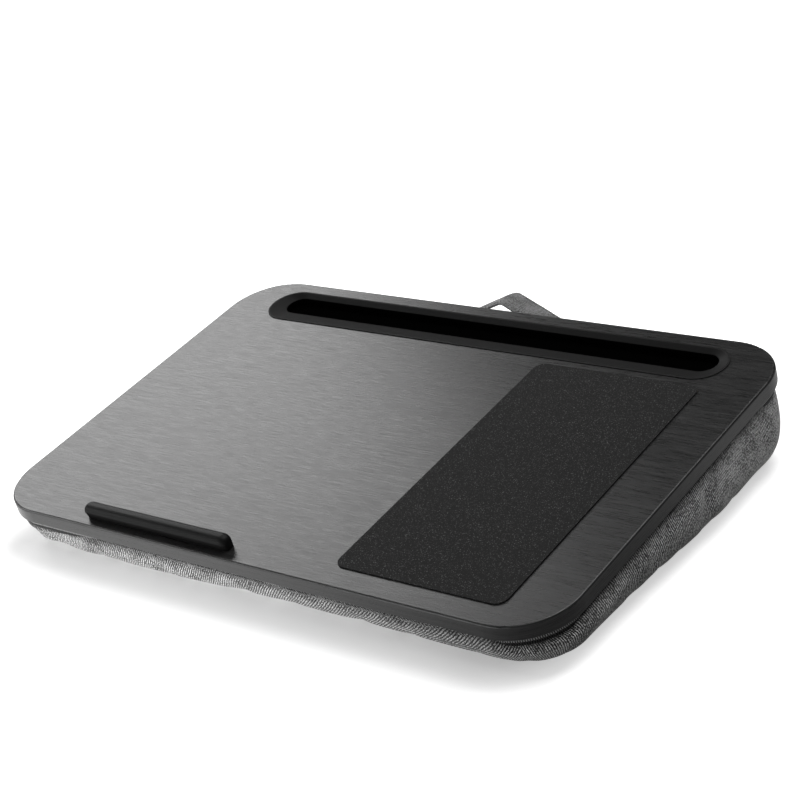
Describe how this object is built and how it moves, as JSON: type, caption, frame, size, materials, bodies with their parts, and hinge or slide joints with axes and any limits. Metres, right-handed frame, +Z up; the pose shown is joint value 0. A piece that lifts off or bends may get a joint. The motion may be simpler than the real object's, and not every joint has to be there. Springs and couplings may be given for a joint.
{
  "type": "lap tray with cushion",
  "caption": "Lap tray: flat woodgrain board with device slot, inset mouse mat and stopper ledge, zipped onto a wedge cushion with a carry handle.",
  "frame": {"origin": "middle of the tray's bounding box in X and Y, on the surface that the cushion stands on", "axes": "+X along the board to the user's right, +Y from the user's edge to the thick rear edge, +Z up; the board's top slopes 7 degrees up towards +Y"},
  "size_m": [0.5536, 0.403, 0.089],
  "materials": {
    "laminate": "charcoal brushed woodgrain laminate, satin",
    "edge_band": "charcoal woodgrain edging, satin",
    "fibreboard": "raw fibreboard",
    "backer": "dark backing paper, matt",
    "mat": "fine matt grain",
    "slot_plastic": "fine satin moulded",
    "ledge_plastic": "satin moulded",
    "screw_steel": "plain",
    "lining_fabric": "plain woven",
    "zip_tape": "woven zip tape",
    "zip_coil": "moulded coil, satin",
    "zip_metal": "black enamel, satin",
    "cover_fabric": "grey heather diagonal rib weave",
    "bag_fabric": "thin plain woven",
    "filling": "loose soft filling",
    "strap_fabric": "grey heather woven strap"
  },
  "bodies": {
    "cushion": {"cover_base_panel": "cover_fabric", "cover_side_band": "cover_fabric", "cover_top_panel": "lining_fabric", "inner_bag_lower": "bag_fabric", "inner_bag_upper": "bag_fabric", "cushion_filling": "filling", "zip_tape_lower": "zip_tape", "zip_coil_lower": "zip_coil", "zip_end_stops": "zip_metal", "hinge_strip": "lining_fabric", "handle_sewn_ends": "strap_fabric"},
    "board": {"board_core": "fibreboard", "top_laminate": "laminate", "backer_laminate": "backer", "edge_band": "edge_band", "mouse_mat": "mat", "slot_insert": "slot_plastic", "stopper_ledge": "ledge_plastic", "ledge_screws": "screw_steel", "board_lining": "lining_fabric", "zip_tape_upper": "zip_tape", "zip_coil_upper": "zip_coil"},
    "slider": {"zip_slider": "zip_metal"},
    "pull": {"zip_pull": "zip_metal"},
    "handle": {"handle_strap": "strap_fabric"}
  },
  "joints": [
    {"name": "board_hinge", "type": "hinge", "parent": "cushion", "child": "board", "pos_m": [-0.00125, 0.16298, 0.07639], "axis": [-1, 0, 0], "range_deg": [0, 45]},
    {"name": "slider_slide", "type": "slide", "parent": "cushion", "child": "slider", "axis": [0, -0.9925, -0.1219], "range_m": [0, 0.24]},
    {"name": "pull_hinge", "type": "hinge", "parent": "slider", "child": "pull", "pos_m": [-0.2753, 0.10188, 0.06526], "axis": [0, 0.1219, -0.9925], "range_deg": [0, 160]},
    {"name": "handle_hinge", "type": "hinge", "parent": "cushion", "child": "handle", "pos_m": [-0.01625, 0.18598, 0.05806], "axis": [1, 0, 0], "range_deg": [-165, 5]}
  ]
}
